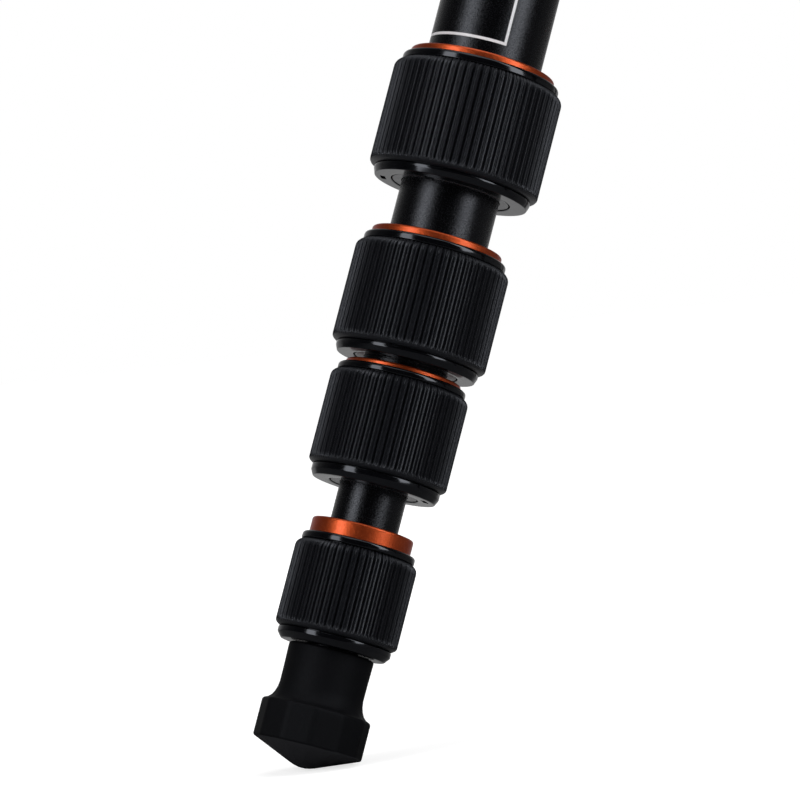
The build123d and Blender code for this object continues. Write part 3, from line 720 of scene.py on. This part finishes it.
def white_floor():
    """White paper that keeps a soft shadow near the feet and is plain white to the camera further out."""
    material = bpy.data.materials.new("white_floor")
    material.use_nodes = True
    tree = material.node_tree
    make, link = tree.nodes.new, tree.links.new
    shader = tree.nodes["Principled BSDF"]
    shader.inputs["Roughness"].default_value = 0.9
    shader.inputs["Specular IOR Level"].default_value = 0.0
    where = make("ShaderNodeTexCoord")
    far = make("ShaderNodeVectorMath")
    far.operation = "LENGTH"
    link(where.outputs["Object"], far.inputs[0])
    glow_strength = make("ShaderNodeMapRange")
    glow_strength.inputs["From Min"].default_value = GLOW_REACH[0]
    glow_strength.inputs["From Max"].default_value = GLOW_REACH[1]
    glow_strength.inputs["To Min"].default_value = GLOW[0]
    glow_strength.inputs["To Max"].default_value = GLOW[1]
    link(far.outputs["Value"], glow_strength.inputs["Value"])
    # The object mirrors the paper from just behind the leg backwards, the later the further aside. To its
    # mirrors the paper beside and before the leg is painted darker, a painted shade that only its
    # reflections show.
    sideways = look.cross(Vector((0, 0, 1))).normalized()
    reaches = []
    for direction in (look, sideways):
        reach = make("ShaderNodeVectorMath")
        reach.operation = "DOT_PRODUCT"
        link(where.outputs["Object"], reach.inputs[0])
        reach.inputs[1].default_value = direction
        reaches.append(reach)
    aside = make("ShaderNodeMath")
    aside.operation = "SUBTRACT"
    link(reaches[1].outputs["Value"], aside.inputs[0])
    aside.inputs[1].default_value = sideways.dot(aim)
    off_line = make("ShaderNodeMath")
    off_line.operation = "ABSOLUTE"
    link(aside.outputs[0], off_line.inputs[0])
    depth = make("ShaderNodeMath")
    depth.operation = "MULTIPLY_ADD"
    link(off_line.outputs[0], depth.inputs[0])
    depth.inputs[1].default_value = -LAG_ASIDE
    link(reaches[0].outputs["Value"], depth.inputs[2])
    behind = make("ShaderNodeMapRange")
    behind.inputs["From Min"].default_value = look.dot(aim) + BEHIND_LEG[0]
    behind.inputs["From Max"].default_value = look.dot(aim) + BEHIND_LEG[1]
    behind.inputs["To Max"].default_value = MIRRORED_GLOW
    link(depth.outputs[0], behind.inputs["Value"])
    path = make("ShaderNodeLightPath")
    mirrored = make("ShaderNodeMath")
    mirrored.operation = "MULTIPLY_ADD"
    link(path.outputs["Is Glossy Ray"], mirrored.inputs[0])
    shade = make("ShaderNodeMapRange")
    shade.inputs["From Max"].default_value = MIRRORED_GLOW
    shade.inputs["To Min"].default_value = MIRRORED_WHITE[0]
    shade.inputs["To Max"].default_value = MIRRORED_WHITE[1]
    link(behind.outputs["Result"], shade.inputs["Value"])
    paper = make("ShaderNodeMix")
    link(path.outputs["Is Glossy Ray"], paper.inputs["Factor"])
    paper.inputs["A"].default_value = PAPER_WHITE
    link(shade.outputs["Result"], paper.inputs["B"])
    link(paper.outputs["Result"], shader.inputs["Base Color"])
    link(behind.outputs["Result"], mirrored.inputs[1])
    through = make("ShaderNodeMath")
    through.operation = "MAXIMUM"
    link(path.outputs["Is Camera Ray"], through.inputs[0])
    link(path.outputs["Is Transmission Ray"], through.inputs[1])
    link(through.outputs[0], mirrored.inputs[2])
    seen = make("ShaderNodeMath")
    seen.operation = "MULTIPLY"
    link(mirrored.outputs[0], seen.inputs[0])
    link(glow_strength.outputs["Result"], seen.inputs[1])
    glow = make("ShaderNodeEmission")
    link(seen.outputs[0], glow.inputs["Strength"])
    both = make("ShaderNodeAddShader")
    link(shader.outputs["BSDF"], both.inputs[0])
    link(glow.outputs["Emission"], both.inputs[1])
    link(both.outputs[0], tree.nodes["Material Output"].inputs["Surface"])
    return material


form = bmesh.new()
bmesh.ops.create_grid(form, x_segments=2, y_segments=2, size=30.0)
bmesh.ops.translate(form, verts=form.verts[:], vec=(0, 0, -0.0002))
floor_mesh = bpy.data.meshes.new("floor")
form.to_mesh(floor_mesh)
form.free()
floor_mesh.materials.append(white_floor())
floor = bpy.data.objects.new("floor", floor_mesh)
bpy.context.scene.collection.objects.link(floor)


def studio_world():
    """White to the camera. The object mirrors a bright ground behind it and a dark room before it."""
    world = bpy.data.worlds.new("studio")
    world.use_nodes = True
    tree = world.node_tree
    make, link = tree.nodes.new, tree.links.new
    where = make("ShaderNodeTexCoord")
    facing = make("ShaderNodeVectorMath")
    facing.operation = "DOT_PRODUCT"
    link(where.outputs["Generated"], facing.inputs[0])
    facing.inputs[1].default_value = look
    room = make("ShaderNodeValToRGB")
    room.color_ramp.interpolation = "EASE"
    room.color_ramp.elements[0].position, room.color_ramp.elements[0].color = 0.35, (0.01, 0.01, 0.01, 1)
    room.color_ramp.elements[1].position, room.color_ramp.elements[1].color = 1.0, (0.6, 0.6, 0.6, 1)
    for place, glow in ((0.62, 0.05), (0.80, 0.12), (0.93, 0.34)):
        room.color_ramp.elements.new(place).color = (glow, glow, glow, 1)
    onto_ramp = make("ShaderNodeMapRange")
    onto_ramp.inputs["From Min"].default_value = -1.0
    link(facing.outputs["Value"], onto_ramp.inputs["Value"])
    link(onto_ramp.outputs["Result"], room.inputs["Fac"])
    path = make("ShaderNodeLightPath")
    seen = make("ShaderNodeMath")
    seen.operation = "MAXIMUM"
    link(path.outputs["Is Camera Ray"], seen.inputs[0])
    link(path.outputs["Is Transmission Ray"], seen.inputs[1])
    mix = make("ShaderNodeMix")
    mix.data_type = "RGBA"
    link(seen.outputs[0], mix.inputs["Factor"])
    link(room.outputs["Color"], mix.inputs["A"])
    mix.inputs["B"].default_value = (1, 1, 1, 1)
    link(mix.outputs["Result"], tree.nodes["Background"].inputs["Color"])
    return world


bpy.context.scene.world = studio_world()


def soft_box(name, side, rise, distance, width, height, power):
    """A rectangular soft light that faces the leg, given by its angles from the camera's side of it."""
    away = Matrix.Rotation(radians(side), 3, up) @ (-look)
    away = (away * cos(radians(rise)) + up * sin(radians(rise))).normalized()
    lamp = bpy.data.lights.new(name, "AREA")
    lamp.shape = "RECTANGLE"
    lamp.size, lamp.size_y = width, height
    lamp.energy = power
    made = bpy.data.objects.new(name, lamp)
    bpy.context.scene.collection.objects.link(made)
    made.location = aim + away * distance
    across = up.cross(away).normalized()
    made.rotation_euler = Matrix((across, away.cross(across), away)).transposed().to_euler()
    made.visible_camera = False


soft_box("left_strip", -49, 6, 1.3, 0.46, 2.2, 12.5)
soft_box("right_strip", 54, 6, 1.3, 0.46, 2.2, 14.5)
soft_box("top_light", 20, 80, 1.6, 1.6, 1.6, 10.0)

bpy.context.scene.view_settings.view_transform = "Standard"
